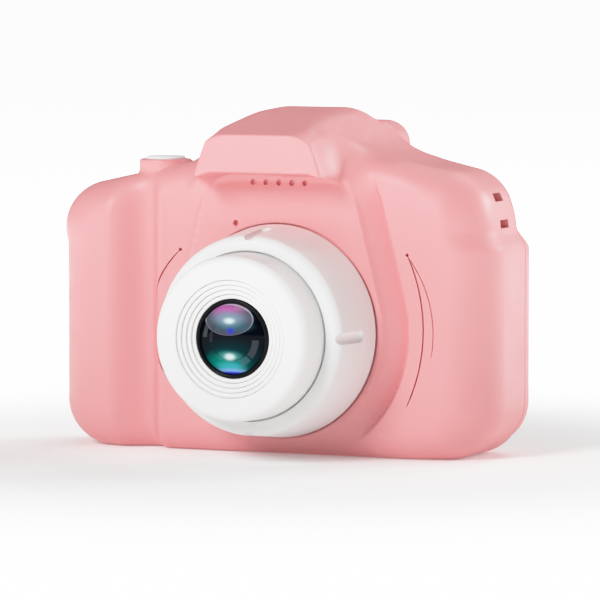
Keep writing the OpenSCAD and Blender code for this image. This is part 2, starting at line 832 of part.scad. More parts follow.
// ---- screws ----
// Pan head screw with a cross recess, its head at y_head facing +Y
module screw(place, y_head, head_r, head_h, shank_r, length) {
    difference() {
        union() {
            bore(place, head_r, y_head - head_h, y_head, 32);
            bore(place, shank_r, y_head - head_h - length, y_head - head_h, 24);
        }
        for (a = [0, 90])
            translate([place[0], y_head, place[1]])
                rotate([0, a, 0])
                cube([head_r * 1.2, head_h, head_r * 0.28], center = true);
    }
}

module case_screws() {
    color([0.7, 0.71, 0.73])
    for (place = screw_places) screw(place, back_y - sink, 2.0, 1.2, 1.15, 8);
}

module board_screws() {
    color([0.7, 0.71, 0.73])
    for (place = board_screw_places) screw(place, board_y + board_t + 0.9, 1.8, 0.9, 1.0, 4);
}

module lens_screws() {
    color([0.7, 0.71, 0.73])
    for (k = [0:2]) screw(lens_screw_place(k), panel_y + wall + 0.9, 1.8, 0.9, 0.9, 3.9);
}

front_shell();
rear_shell();
shutter_button();
key(key_places[0]);  // power_button
key(key_places[1]);  // menu_button
key(key_places[2]);  // up_button
key(key_places[3]);  // down_button
key(key_places[4]);  // left_button
key(key_places[5]);  // right_button
key(key_places[6]);  // ok_button
port_cover();
lens_ring();
lens_barrel();
lens_bezel();
front_glass();
aperture_plate();
lens_element_front();
lens_element_rear();
lens_holder();
image_sensor();
sensor_board();
sensor_flex();
main_board();
board_chips();
flex_connectors();
key_switches();
shutter_switch();
shutter_board();
usb_socket();
card_socket();
memory_card();
battery();
battery_pad();
battery_leads();
speaker();
speaker_leads();
microphone();
microphone_boot();
screen_window();
screen_border();
display_glass();
display_backlight();
display_flex();
display_gasket();
charge_light();
eyepiece_window();
case_screws();
board_screws();
lens_screws();
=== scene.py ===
"""Kids digital camera: finished outer pieces, materials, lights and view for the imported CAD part.

Lengths are written in millimetres and turned into metres when a mesh is made. -Y is the front and +Z is up.
"""
import math

import bmesh
import bpy
import numpy as np
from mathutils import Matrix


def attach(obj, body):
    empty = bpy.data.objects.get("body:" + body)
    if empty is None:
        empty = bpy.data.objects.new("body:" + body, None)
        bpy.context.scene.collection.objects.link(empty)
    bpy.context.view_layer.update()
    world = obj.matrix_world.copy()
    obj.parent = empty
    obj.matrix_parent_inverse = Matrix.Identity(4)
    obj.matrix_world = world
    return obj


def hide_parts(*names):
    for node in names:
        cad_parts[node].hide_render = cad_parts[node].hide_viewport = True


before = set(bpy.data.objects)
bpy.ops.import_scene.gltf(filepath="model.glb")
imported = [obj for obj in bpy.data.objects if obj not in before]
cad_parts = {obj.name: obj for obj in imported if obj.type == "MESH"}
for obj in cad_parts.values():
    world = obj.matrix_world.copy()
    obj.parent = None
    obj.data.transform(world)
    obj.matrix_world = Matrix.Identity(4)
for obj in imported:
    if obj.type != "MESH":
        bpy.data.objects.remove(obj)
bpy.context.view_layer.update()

import openvdb
from mathutils import Vector

MM = 0.001

# ---- sizes shared with the CAD part, in millimetres ----
LENS_X, LENS_Z = 2.8, 21.3
FRONT_Y, RING_Y, PANEL_Y = -23.0, -16.0, -3.5
BACK_Y, EYE_Y, SEAM_Y = 20.9, 23.0, 15.4
BODY_H = 58.6
WALL = 2.0
EYE_HALF, EYE_TOP = 14.3, 56.3
SHUTTER = (-22.3, 5.0)
COLLAR_R, COLLAR_TOP = 4.5, 49.5
HINGE = (-39.25, 0, 11.75)
NECK_R, NECK_IN_R = 10.15, 9.2


# ---- shape functions: distances to surfaces, negative inside ----
def ease(a, b, t):
    """0 before a, 1 after b, smooth between."""
    u = np.clip((t - a) / (b - a), 0.0, 1.0)
    return u * u * (3 - 2 * u)


def round_max(a, b, r):
    """Intersection of two shapes whose shared edge is rounded over a width r."""
    u, v = np.maximum(a + r, 0), np.maximum(b + r, 0)
    return np.sqrt(u * u + v * v) - r + np.minimum(np.maximum(a + r, b + r), 0)


def smooth_min(a, b, k):
    """Union of two shapes whose shared corner is filled over a width k."""
    t = np.maximum(k - np.abs(a - b), 0) / k
    return np.minimum(a, b) - t * t * k * 0.25


def beyond(u, v, place, normal):
    """How far (u, v) lies beyond a flat face that passes through a place."""
    return (u - place[0]) * normal[0] + (v - place[1]) * normal[1]


# outline of the body seen from the front, before its corners are rounded
OUTLINE = [(-40, 0), (34, 0), (40, 6), (40, 36), (39.3, 47.5), (23, 50.3), (-16, 49.2), (-40, 44.1)]
CORNER_R = 8.0


def inset(points, r):
    """A convex anticlockwise polygon moved in by r."""
    lines = []
    for (ax, az), (bx, bz) in zip(points, points[1:] + points[:1]):
        dx, dz = bx - ax, bz - az
        n = math.hypot(dx, dz)
        lines.append((dz / n, -dx / n, (dz * ax - dx * az) / n - r))
    found = []
    for (a, b, c), (d, e, f) in zip(lines[-1:] + lines[:-1], lines):
        det = a * e - b * d
        found.append(((c * e - b * f) / det, (a * f - c * d) / det))
    return found


CORE = inset(OUTLINE, CORNER_R)


def outline_distance(x, z):
    """Distance outside the rounded outline of the body, seen from the front."""
    inside = np.full(np.broadcast(x, z).shape, -1e9)
    nearest = np.full(inside.shape, 1e9)
    for (ax, az), (bx, bz) in zip(CORE, CORE[1:] + CORE[:1]):
        dx, dz = bx - ax, bz - az
        n = math.hypot(dx, dz)
        t = np.clip(((x - ax) * dx + (z - az) * dz) / (n * n), 0, 1)
        nearest = np.minimum(nearest, np.hypot(x - ax - t * dx, z - az - t * dz))
        inside = np.maximum(inside, ((x - ax) * dz - (z - az) * dx) / n)
    return np.where(inside < 0, inside, nearest) - CORNER_R


PANEL_R = 18.9
PANEL_TILT = math.radians(14.3)
CHANNEL_DEPTH, RIDGE_HEIGHT = 2.9, 1.8
HOLLOW_DEPTH, GRIP_HEIGHT = 2.3, 3.35


def panel_distance(x, z):
    """Distance outside the raised panel that widens from the brow down to a circle round the lens."""
    h, v = np.abs(x - LENS_X), z - LENS_Z
    side = h * math.cos(PANEL_TILT) + v * math.sin(PANEL_TILT) - PANEL_R
    return np.where(np.arctan2(v, h) > PANEL_TILT, side, np.hypot(h, v) - PANEL_R)


def relief(x, z):
    """How far the front surface lies behind the raised panel."""
    gap = panel_distance(x, z)
    angle = np.degrees(np.arctan2(z - LENS_Z, x - LENS_X))
    # far side: a channel hugs the panel, and a low ridge runs along its outer edge
    slant = np.clip((gap - 0.25) / 3.5, 0, 1)
    channel = CHANNEL_DEPTH * slant * (1.25 - 0.25 * slant)
    channel += 0.1 * ease(4.9, 7, gap) - RIDGE_HEIGHT * ease(3.6, 4.6, gap)
    channel -= 0.16 * np.exp(-((gap - 0.1) / 0.5) ** 2)
    plain = 0.9 * ease(-0.5, 4, gap)
    keep = ease(-62, -28, angle) * (1 - 0.92 * ease(43, 48, z))
    far = plain + (channel - plain) * keep
    # grip side: a flat, an edge, the finger hollow and the crest of the grip
    flat = 0.75 * ease(0, 1.3, gap)
    fade = 1 - 0.75 * ease(42, 48.5, z)
    hollow = (HOLLOW_DEPTH * ease(19.7, 22.4, -x) - GRIP_HEIGHT * ease(22.7, 29.6, -x)) * fade
    ridge = -0.18 * np.exp(-((x + 19.3) / 0.8) ** 2)
    near = flat + hollow + ridge * ease(2, 6, z) * (1 - ease(43, 46, z))
    side = ease(-4, 4, x - LENS_X)
    return near + (far - near) * side


def body_shape(x, y, z):
    """The rounded slab with its front relief, and a shoulder cap set off by a waist line."""
    cap_far = ease(34.8, 38.8, z)
    cap_near = ease(34.2, 37.2, z)
    # above the waist both ends are drawn in a little
    drawn_far = (1.35 * cap_far + 0.45 * ease(39, 43, z)) * ease(18, 36, x)
    drawn_near = 0.45 * cap_near * ease(20, 36, -x)
    wx = x + drawn_far + drawn_near
    edge = outline_distance(wx, z)
    front = PANEL_Y + relief(x, z) - y
    back = y - BACK_Y
    front_r = 5.0 + 3.8 * ease(23, 38, np.abs(wx))
    back_r = 4.5 + 2.5 * cap_far * ease(20, 36, np.abs(wx))
    return np.maximum(round_max(edge, front, front_r), round_max(edge, back, back_r))


BROW_Y, BROW_TOP, BROW_LIP, BROW_HALF = -12.1, 54.65, 48.2, 12.25
HUMP_BASE, HUMP_BACK = 44, 14.9


def hump_shape(x, y, z):
    """Brow with an arched front face, sloping roof, and cheeks that sweep back to the shoulders.

    h runs out from the lens axis to both sides, t from the brow to the back, and near is 1 on the grip side.
    """
    h = np.abs(x - LENS_X)
    t = np.clip((y + 12) / 27.4, 0, 1)
    near = ease(-3, 3, LENS_X - x)
    forward = 1 - ease(0, 0.35, t)
    top = round_max(beyond(y, z, (BROW_Y, BROW_TOP), (-0.1807, 0.9835)), z - BODY_H, 1.5)
    # cheeks: each leans in from a side wall, more steeply in front than behind
    slope = np.radians(53.5 - 16.5 * t)
    spare = near * (1.8 - 0.7 * ease(0.7, 1, t)) + (1 - near) * 1.9 * (1 - ease(0, 0.36, t))
    cheek = beyond(h, z, (8.2 - 0.4 * t, 54.3 + 3.6 * t), (np.sin(slope), np.cos(slope))) - spare
    side = h - BROW_HALF - 2.2 * near - np.minimum(0.03 * np.maximum(y + 9, 0) ** 2, 10.0)
    edge_r = 5.7 - 1.2 * t + (1.3 + 1.9 * near) * forward
    sides = round_max(round_max(top, cheek, 1.6), side, edge_r)
    # brow: a face that leans back a little, over an arched lip
    front = round_max(sides, BROW_Y + 0.08 * (54.6 - z) - y, 0.55)
    arch = 0.6 * np.clip((y + 12) / 8.5, 0, 1) + 0.9 * ease(8.5, 12.3, h) + 3.0 * np.maximum(y + 3.5, 0)
    under = round_max(front, BROW_LIP - arch - z, 0.35)
    # far side: a slope that leans back from the front of the shoulder up to the rear cheek
    upper = beyond(y, z, (-0.4, 49.0), (-0.55, 0.83))
    lower = beyond(y, z, (-1.2, 48.0), (-0.77, -0.64))
    rise = beyond(h, z, (7.8, 57.9), (0.602, 0.799))
    hill = round_max(round_max(top, rise, 1.6), round_max(upper, lower, 2.0), 3.0)
    hill = np.maximum(hill, LENS_X + 4 - x)
    both = smooth_min(under, hill, 0.3 + 4.5 * (1 - ease(0, 7, y)))
    rear = np.maximum(beyond(y, z, (HUMP_BACK, BODY_H), (0.94, 0.34)), y - 19)
    return np.maximum(round_max(both, rear, 0.5), HUMP_BASE - z)


def rounded_box(x, y, z, low, high, r):
    """A block whose edges are all rounded with radius r."""
    q = [np.abs(p - (a + b) / 2) - (b - a) / 2 + r for p, a, b in zip((x, y, z), low, high)]
    outside = np.sqrt(sum(np.maximum(v, 0) ** 2 for v in q))
    return outside + np.minimum(np.maximum(np.maximum(q[0], q[1]), q[2]), 0) - r


def solid_shape(x, y, z):
    """The whole outside of the case."""
    body = body_shape(x, y, z)
    hump = hump_shape(x, y, z)
    # the hump meets the body in a tight corner under the brow, and in a soft one beside and behind it
    beside = ease(10.8, 13.4, np.abs(x - LENS_X))
    fill = 0.5 + 3.3 * np.maximum(ease(-3, 2, y), 0.9 * beside) - 1.3 * ease(8, 13, y)
    case = smooth_min(body, hump, fill)
    low, high = (LENS_X - EYE_HALF, 12, 43.5), (LENS_X + EYE_HALF, EYE_Y, EYE_TOP)
    case = smooth_min(case, rounded_box(x, y, z, low, high, 4.2), 0.5)
    column = np.hypot(x - SHUTTER[0], y - SHUTTER[1]) - COLLAR_R
    collar = np.maximum(round_max(column, z - COLLAR_TOP, 0.4), 40 - z)
    return smooth_min(case, collar, 0.5)


def cavity_shape(x, y, z):
    """The space inside the case, with blocks left behind the port cover and the strap holes."""
    inside = solid_shape(x, y, z) + WALL
    inside = np.maximum(inside, -rounded_box(x, y, z, (-42, 3, 9.4), (-36.4, 14.4, 34.6), 0.1))
    return np.maximum(inside, -rounded_box(x, y, z, (32.6, 6.4, 36.6), (42, 12.6, 47), 0.1))


# ---- meshes ----
def link(name, data):
    obj = bpy.data.objects.new(name, data)
    bpy.context.scene.collection.objects.link(obj)
    return obj


def shape_mesh(name, shape, low, high, step, passes=3):
    """Meshes a shape on a grid, then moves every vertex onto the exact surface."""
    axes = [np.arange(a - 2 * step, b + 3 * step, step) for a, b in zip(low, high)]
    grid_x, grid_y, grid_z = np.meshgrid(*axes, indexing="ij", sparse=True)
    field = np.ascontiguousarray(shape(grid_x, grid_y, grid_z), dtype=np.float32)
    grid = openvdb.FloatGrid(background=3.0)
    grid.copyFromArray(np.clip(field, -3, 3))
    points, quads = grid.convertToQuads()
    points = points.astype(np.float64) * step + np.array([a[0] for a in axes])
    for _ in range(passes):
        points = points - surface_step(shape, points, step)
    mesh = bpy.data.meshes.new(name)
    mesh.from_pydata((points * MM).tolist(), [], quads.tolist())
    mesh.update()
    return mesh


def surface_step(shape, points, step):
    """The move that takes each point to the surface, no longer than half a grid step."""
    x, y, z = points.T
    e = 0.02
    value = shape(x, y, z)
    slope = np.stack([
        shape(x + e, y, z) - shape(x - e, y, z),
        shape(x, y + e, z) - shape(x, y - e, z),
        shape(x, y, z + e) - shape(x, y, z - e),
    ], axis=1) / (2 * e)
    move = slope * (value / np.maximum((slope ** 2).sum(1), 0.05))[:, None]
    size = np.linalg.norm(move, axis=1, keepdims=True)
    return move * np.minimum(1, 0.5 * step / np.maximum(size, 1e-9))


def turned(name, profile, origin, axis=(0, 1, 0), steps=96, closed=False):
    """Turns a profile of (radius, distance along the axis) points about an axis.

    A closed profile comes back to its first point. An open one starts and ends on the axis.
    """
    along = Vector(axis).normalized()
    u = along.orthogonal().normalized()
    v = along.cross(u)
    origin = Vector(origin)
    bm = bmesh.new()
    rings = []
    for r, t in profile:
        turns = [0.0] if r < 1e-6 else [2 * math.pi * k / steps for k in range(steps)]
        spokes = [u * math.cos(a) + v * math.sin(a) for a in turns]
        rings.append([bm.verts.new((origin + along * t + spoke * r) * MM) for spoke in spokes])
    for a, b in zip(rings, rings[1:] + (rings[:1] if closed else [])):
        for k in range(steps):
            corners = [a[k % len(a)], a[(k + 1) % len(a)], b[(k + 1) % len(b)], b[k % len(b)]]
            corners = list(dict.fromkeys(corners))
            if len(corners) > 2:
                bm.faces.new(corners)
    bmesh.ops.recalc_face_normals(bm, faces=bm.faces)
    return from_bmesh(name, bm)


def from_bmesh(name, bm):
    mesh = bpy.data.meshes.new(name)
    bm.to_mesh(mesh)
    bm.free()
    return link(name, mesh)


def arc(cx, cy, r, start, end, steps=8):
    """Points along an arc, for profiles, angles in degrees."""
    turns = [math.radians(start + (end - start) * k / steps) for k in range(steps + 1)]
    return [(cx + r * math.cos(a), cy + r * math.sin(a)) for a in turns]


def prism(name, outline, low, high, axis="y"):
    """Stands an outline up between two places along an axis. The outline lies in the other two axes."""
    return prisms(name, [outline], low, high, axis)


def prisms(name, outlines, low, high, axis="y"):
    """Stands several outlines up as one mesh."""
    slot = "xyz".index(axis)
    bm = bmesh.new()
    for outline in outlines:
        ends = [[bm.verts.new(Vector((*p[:slot], t, *p[slot:])) * MM) for p in outline] for t in (low, high)]
        bm.faces.new(ends[0])
        bm.faces.new(ends[1])
        for k in range(len(outline)):
            n = (k + 1) % len(outline)
            bm.faces.new([ends[0][k], ends[0][n], ends[1][n], ends[1][k]])
    bmesh.ops.recalc_face_normals(bm, faces=bm.faces)
    return from_bmesh(name, bm)


def round_rect(cx, cy, w, h, r, steps=8):
    """Outline of a rectangle with rounded corners."""
    x, y = w / 2 - r, h / 2 - r
    corners = [(x, y, 0), (-x, y, 90), (-x, -y, 180), (x, -y, 270)]
    return [p for sx, sy, a in corners for p in arc(cx + sx, cy + sy, r, a, a + 90, steps)]


def block(name, low, high):
    """A plain block between two corners."""
    (x0, y0, z0), (x1, y1, z1) = low, high
    return prism(name, [(x0, z0), (x1, z0), (x1, z1), (x0, z1)], y0, y1)


def bevel(obj, width, segments=3, angle=30):
    """Rounds the edges of a piece."""
    mod = obj.modifiers.new("edges", "BEVEL")
    mod.width = width * MM
    mod.segments = segments
    mod.limit_method = "ANGLE"
    mod.angle_limit = math.radians(angle)
    return settle(obj)


def settle(obj, sharp=34):
    """Applies the modifiers of a piece and gives it smooth shading with crisp edges."""
    graph = bpy.context.evaluated_depsgraph_get()
    mesh = bpy.data.meshes.new_from_object(obj.evaluated_get(graph))
    obj.modifiers.clear()
    obj.data = mesh
    mesh.shade_smooth()
    mesh.set_sharp_from_angle(angle=math.radians(sharp))
    return obj


def cut(obj, tools, how="DIFFERENCE"):
    """Cuts tools out of a piece one after another, and removes the tools."""
    for tool in tools:
        mod = obj.modifiers.new("cut", "BOOLEAN")
        mod.object = tool
        mod.operation = how
        mod.solver = "MANIFOLD"
    settle(obj)
    for tool in tools:
        bpy.data.objects.remove(tool)
    return obj


def bore(place, r, low, high, flare=0.0, at=None, steps=40):
    """A round tool along Y at (x, z). Its mouth at depth `at` is widened by flare."""
    profile = [(0, low), (r, low), (r, high), (0, high)]
    if flare and at < (low + high) / 2:
        profile = [(0, low), (r + flare + at - low, low), (r, at + flare), (r, high), (0, high)]
    elif flare:
        profile = [(0, low), (r, low), (r, at - flare), (r + flare + high - at, high), (0, high)]
    return turned("tool", profile, (place[0], 0, place[1]), steps=steps)


def groove(points, width, depth):
    """A thin blade that follows points lying on the case, set in along the surface normal."""
    bm = bmesh.new()
    rings = []
    for k, p in enumerate(points):
        ahead = points[min(k + 1, len(points) - 1)] - points[max(k - 1, 0)]
        n = surface_normal(p)
        side = np.cross(ahead / np.linalg.norm(ahead), n)
        half = width / 2 * min(1.0, 0.35 + 0.25 * min(k, len(points) - 1 - k))
        rings.append([bm.verts.new(Vector(p + a * side * half + b * n) * MM)
                      for a, b in ((-1, -depth), (1, -depth), (1, 0.3), (-1, 0.3))])
    for a, b in zip(rings, rings[1:]):
        for k in range(4):
            bm.faces.new([a[k], a[(k + 1) % 4], b[(k + 1) % 4], b[k]])
    bm.faces.new(rings[0])
    bm.faces.new(rings[-1])
    bmesh.ops.recalc_face_normals(bm, faces=bm.faces)
    return from_bmesh("tool", bm)


def surface_normal(p, e=0.05):
    steps = np.eye(3) * e
    n = np.array([float(solid_shape(*(p + d)) - solid_shape(*(p - d))) for d in steps])
    return n / np.linalg.norm(n)


def front_point(x, z):
    """The point of the front surface at (x, z), found by walking in until the surface is met."""
    y = -14.0
    for _ in range(60):
        y += 0.9 * float(solid_shape(*np.float64((x, y, z))))
    return np.array([x, y, z])


def arc_through(a, b, c, steps):
    """Points along the circle through three (x, z) places."""
    (ax, az), (bx, bz), (cx, cz) = a, b, c
    d = 2 * (ax * (bz - cz) + bx * (cz - az) + cx * (az - bz))
    aa, bb, cc = ax * ax + az * az, bx * bx + bz * bz, cx * cx + cz * cz
    ux = (aa * (bz - cz) + bb * (cz - az) + cc * (az - bz)) / d
    uz = (aa * (cx - bx) + bb * (ax - cx) + cc * (bx - ax)) / d
    r = math.hypot(ax - ux, az - uz)
    ta, tc = math.atan2(az - uz, ax - ux), math.atan2(cz - uz, cx - ux)
    if tc - ta > math.pi:
        tc -= 2 * math.pi
    elif ta - tc > math.pi:
        tc += 2 * math.pi
    return arc(ux, uz, r, math.degrees(ta), math.degrees(tc), steps)


# ---- the case ----
SCREWS = [(-34.5, 6.7), (-34.5, 37.6), (35, 6.7), (35, 34)]
KEYS = {
    "power_button": (-21, 35), "menu_button": (-29, 35),
    "up_button": (-25, 27), "down_button": (-25, 13), "left_button": (-18, 20), "right_button": (-32, 20),
    "ok_button": (-25, 20),
}
KEY_R = 2.7
CHARGE_LIGHT = (-25, 40.6)
WINDOW = (9.5, 22.4, 44.0, 34.0)
EYEPIECE = (LENS_X, 51.6, 11, 5)

STEP = 0.38
LOW, HIGH = (-41, -13, -0.5), (41, 23.5, 59.2)
solid = shape_mesh("solid", solid_shape, LOW, HIGH, STEP)
cavity = shape_mesh("cavity", cavity_shape, LOW, HIGH, 1.0, 2)


def sound_hole(place, r, flare):
    """Tool for a shallow round hole with a softened mouth in the raised panel."""
    return bore(place, r, PANEL_Y - 0.4, PANEL_Y + 0.9, flare, PANEL_Y, 24)


def crescent_lines():
    """Tools for the thin curved lines beside the lens, and for the dots where the wide ones start."""
    wide, fine = (0.26, 0.7), (0.16, 0.4)
    lines = [
        (wide, (25.87, 34.62), (28.79, 22.17), (25.75, 9.16), 40),
        (fine, (25.75, 34.6), (30.5, 23.2), (30.2, 17.5), 30),
        (wide, (-15.83, 34.49), (-21.26, 24.07), (-18.2, 12.5), 30),
    ]
    blades, dots = [], []
    for size, *through in lines:
        points = [front_point(x, z) for x, z in arc_through(*through)]
        blades.append(groove(points, *size))
        if size == wide:
            x, y, z = points[0]
            dots.append(bore((x, z), 0.3, y - 2, y + 0.9, steps=16))
    return blades + dots


def port_recess():
    """Tools for the recess of the port cover, its hinge bead and foot, and the two socket openings."""
    return [
        prism("tool", round_rect(9, 22.5, 9.5, 21.5, 1.2), -42, -38.25, "x"),
        turned("tool", [(0, 4.25), (1.0, 4.25), (1.0, 13.75), (0, 13.75)], HINGE),
        block("tool", (-42, 4.25, 10.55), (-39.25, 13.75, 14)),
        prism("tool", round_rect(6.25, 28.4, 3.3, 8.2, 1.5), -42, -33, "x"),
        prism("tool", round_rect(6.55, 17.6, 1.9, 12.2, 0.4), -42, -33, "x"),
    ]


def strap_holes():
    """Tools for two oblong holes that meet behind a bar."""
    holes = [prism("tool", round_rect(9.9, z, 3.5, 1.4, 0.2), 34.9, 46, "x") for z in (43.95, 39.5)]
    return holes + [block("tool", (33.5, 8.15, 38.8), (36.1, 10.85, 44.65))]


def front_case():
    case = link("case_front", solid.copy())
    well = [(0, 38), (4.55, 38), (4.55, 46.2), (3.65, 46.2), (3.65, 49.3), (4.35, 50), (4.35, 60), (0, 60)]
    moat = [(17, -6), (18.28, -6), (18.28, PANEL_Y + 0.5), (17, PANEL_Y + 0.5)]
    return cut(case, [
        block("tool", (-60, SEAM_Y - 0.08, -20), (60, 60, 80)),
        link("tool", cavity.copy()),
        bore((LENS_X, LENS_Z), NECK_R + 0.05, -8, 6, steps=96),
        turned("tool", moat, (LENS_X, 0, LENS_Z), steps=160, closed=True),
        turned("tool", well, (*SHUTTER, 0), (0, 0, 1)),
        *port_recess(),
        *strap_holes(),
        *[sound_hole((LENS_X + i * 2.4, 46.3), 0.48, 0.14) for i in range(-2, 3)],
        sound_hole((-5.1, 39.3), 0.46, 0.12),
        *crescent_lines(),
    ])


def rear_case():
    case = link("case_rear", solid.copy())
    x, z, w, h = WINDOW
    ex, ez, ew, eh = EYEPIECE
    return cut(case, [
        block("tool", (-60, -60, -20), (60, SEAM_Y + 0.08, 80)),
        link("tool", cavity.copy()),
        prism("tool", round_rect(x, z, w + 0.2, h + 0.2, 0.9), BACK_Y - 1.4, 26),
        prism("tool", round_rect(x, z, w - 3.2, h - 3.2, 0.6), BACK_Y - 6, 26),
        *[bore(place, KEY_R + 0.25, BACK_Y - 6, BACK_Y + 1, 0.2, BACK_Y, 64) for place in KEYS.values()],
        bore(CHARGE_LIGHT, 0.85, BACK_Y - 6, BACK_Y + 1, 0.1, BACK_Y, 32),
        *[bore(place, 2.3, 17.3, 22.5, 0.2, BACK_Y, 48) for place in SCREWS],
        *[bore(place, 1.25, 14, 19) for place in SCREWS],
        prism("tool", round_rect(ex, ez, ew + 0.2, eh + 0.2, 1.2), EYE_Y - 0.8, 26),
    ])


# ---- materials ----
def new_material(name):
    mat = bpy.data.materials.new(name)
    mat.use_nodes = True
    return mat, mat.node_tree.nodes["Principled BSDF"]


def add(mat, kind, **values):
    """Adds a node. Keys are settings in small letters, names of inputs, or i and the number of an input."""
    node = mat.node_tree.nodes.new("ShaderNode" + kind)
    for key, value in values.items():
        if key[1:].isdigit():
            feed(mat, value, node.inputs[int(key[1:])])
        elif key[0].isupper():
            feed(mat, value, node.inputs[key])
        else:
            setattr(node, key, value)
    return node


def feed(mat, value, socket):
    if isinstance(value, bpy.types.NodeSocket):
        mat.node_tree.links.new(value, socket)
    else:
        socket.default_value = value


def object_place(mat):
    return add(mat, "TexCoord").outputs["Object"]


def noise(mat, scale, detail=2.0, place=None):
    return add(mat, "TexNoise", Vector=place or object_place(mat), Scale=scale, Detail=detail).outputs["Fac"]


def remap(mat, value, low, high, to_low, to_high):
    """Smooth step from to_low to to_high while the value goes from low to high."""
    ends = {"i1": low, "i2": high, "i3": to_low, "i4": to_high}
    return add(mat, "MapRange", interpolation_type="SMOOTHSTEP", i0=value, **ends).outputs["Result"]


def blend_colour(mat, factor, a, b):
    return add(mat, "Mix", data_type="RGBA", i0=factor, i6=rgba(a), i7=rgba(b)).outputs[2]


def rgba(colour):
    return colour if isinstance(colour, bpy.types.NodeSocket) else (*colour[:3], 1.0)


def times(mat, a, b, operation="MULTIPLY"):
    return add(mat, "Math", operation=operation, i0=a, i1=b).outputs[0]


def plastic(name, colour, rough, vary=0.03, grain=2e-6, wave=1.2e-5, wear=0.25, **fixed):
    """Moulded plastic: faint flow patches, fine grain, a gentle wave, and edges rubbed a little lighter."""
    mat, shader = new_material(name)
    place = object_place(mat)
    patches = noise(mat, 55, 3, place)
    dark, light = [c * (1 - vary) for c in colour], [min(1, c * (1 + vary)) for c in colour]
    tint = blend_colour(mat, patches, dark, light)
    edge = remap(mat, add(mat, "NewGeometry").outputs["Pointiness"], 0.515, 0.6, 0, wear)
    rubbed = times(mat, edge, noise(mat, 420, 4, place))
    tint = blend_colour(mat, rubbed, tint, [0.25 + 0.75 * c for c in colour])
    feed(mat, tint, shader.inputs["Base Color"])
    gloss = remap(mat, noise(mat, 190, 4, place), 0.3, 0.7, rough * 0.88, rough * 1.14)
    feed(mat, times(mat, gloss, times(mat, rubbed, 0.25), "ADD"), shader.inputs["Roughness"])
    fine = add(mat, "Bump", Height=noise(mat, 2600, 2, place), Distance=grain, Strength=1.0)
    swell = noise(mat, 70, 1, place)
    broad = add(mat, "Bump", Height=swell, Distance=wave, Strength=1.0, Normal=fine.outputs[0])
    feed(mat, broad.outputs[0], shader.inputs["Normal"])
    for key, value in fixed.items():
        shader.inputs[key.replace("_", " ")].default_value = value
    return mat


def metal(name, colour, rough, scratch=900, depth=3e-6):
    """Sheet metal: rolled along one direction, with faint tarnish patches."""
    mat, shader = new_material(name)
    place = object_place(mat)
    stretched = add(mat, "VectorMath", operation="MULTIPLY", i0=place, i1=(0.06, 1.0, 1.0)).outputs[0]
    lines = noise(mat, scratch * 4, 3, stretched)
    tarnish = noise(mat, 160, 4, place)
    feed(mat, blend_colour(mat, tarnish, [c * 0.9 for c in colour], colour), shader.inputs["Base Color"])
    feed(mat, remap(mat, lines, 0.3, 0.7, rough * 0.8, rough * 1.25), shader.inputs["Roughness"])
    bump = add(mat, "Bump", Height=lines, Distance=depth, Strength=1.0)
    feed(mat, bump.outputs[0], shader.inputs["Normal"])
    shader.inputs["Metallic"].default_value = 1.0
    return mat


def board(name):
    """Green solder mask over copper tracks."""
    mat, shader = new_material(name)
    place = object_place(mat)
    cells = add(mat, "TexVoronoi", Vector=place, Scale=520.0, distance="CHEBYCHEV").outputs["Distance"]
    tracks = remap(mat, cells, 0.36, 0.42, 0, 1)
    patches = noise(mat, 90, 2, place)
    mask = blend_colour(mat, patches, (0.012, 0.12, 0.055), (0.016, 0.15, 0.07))
    feed(mat, blend_colour(mat, tracks, mask, (0.03, 0.24, 0.1)), shader.inputs["Base Color"])
    feed(mat, remap(mat, patches, 0.3, 0.7, 0.3, 0.42), shader.inputs["Roughness"])
    bump = add(mat, "Bump", Height=tracks, Distance=3e-5, Strength=1.0)
    feed(mat, bump.outputs[0], shader.inputs["Normal"])
    return mat


def foam(name, colour):
    """Open cells, their insides darkened with painted shade."""
    mat, shader = new_material(name)
    place = object_place(mat)
    cells = add(mat, "TexVoronoi", Vector=place, Scale=1900.0).outputs["Distance"]
    # the cell insides are darkened as painted shade in the pores
    feed(mat, blend_colour(mat, cells, [c * 0.45 for c in colour], colour), shader.inputs["Base Color"])
    feed(mat, remap(mat, cells, 0, 1, 0.85, 0.98), shader.inputs["Roughness"])
    bump = add(mat, "Bump", Height=cells, Distance=1e-4, Strength=1.0)
    feed(mat, bump.outputs[0], shader.inputs["Normal"])
    return mat


def glass(name, tint):
    """Clear glass with a faint wave, and a haze in its gloss."""
    mat, shader = new_material(name)
    place = object_place(mat)
    haze = noise(mat, 240, 5, place)
    feed(mat, blend_colour(mat, haze, [c * 0.97 for c in tint], tint), shader.inputs["Base Color"])
    feed(mat, remap(mat, haze, 0.45, 0.8, 0.02, 0.09), shader.inputs["Roughness"])
    bump = add(mat, "Bump", Height=noise(mat, 60, 1, place), Distance=4e-6, Strength=1.0)
    feed(mat, bump.outputs[0], shader.inputs["Normal"])
    shader.inputs["Transmission Weight"].default_value = 1.0
    shader.inputs["IOR"].default_value = 1.46
    return mat


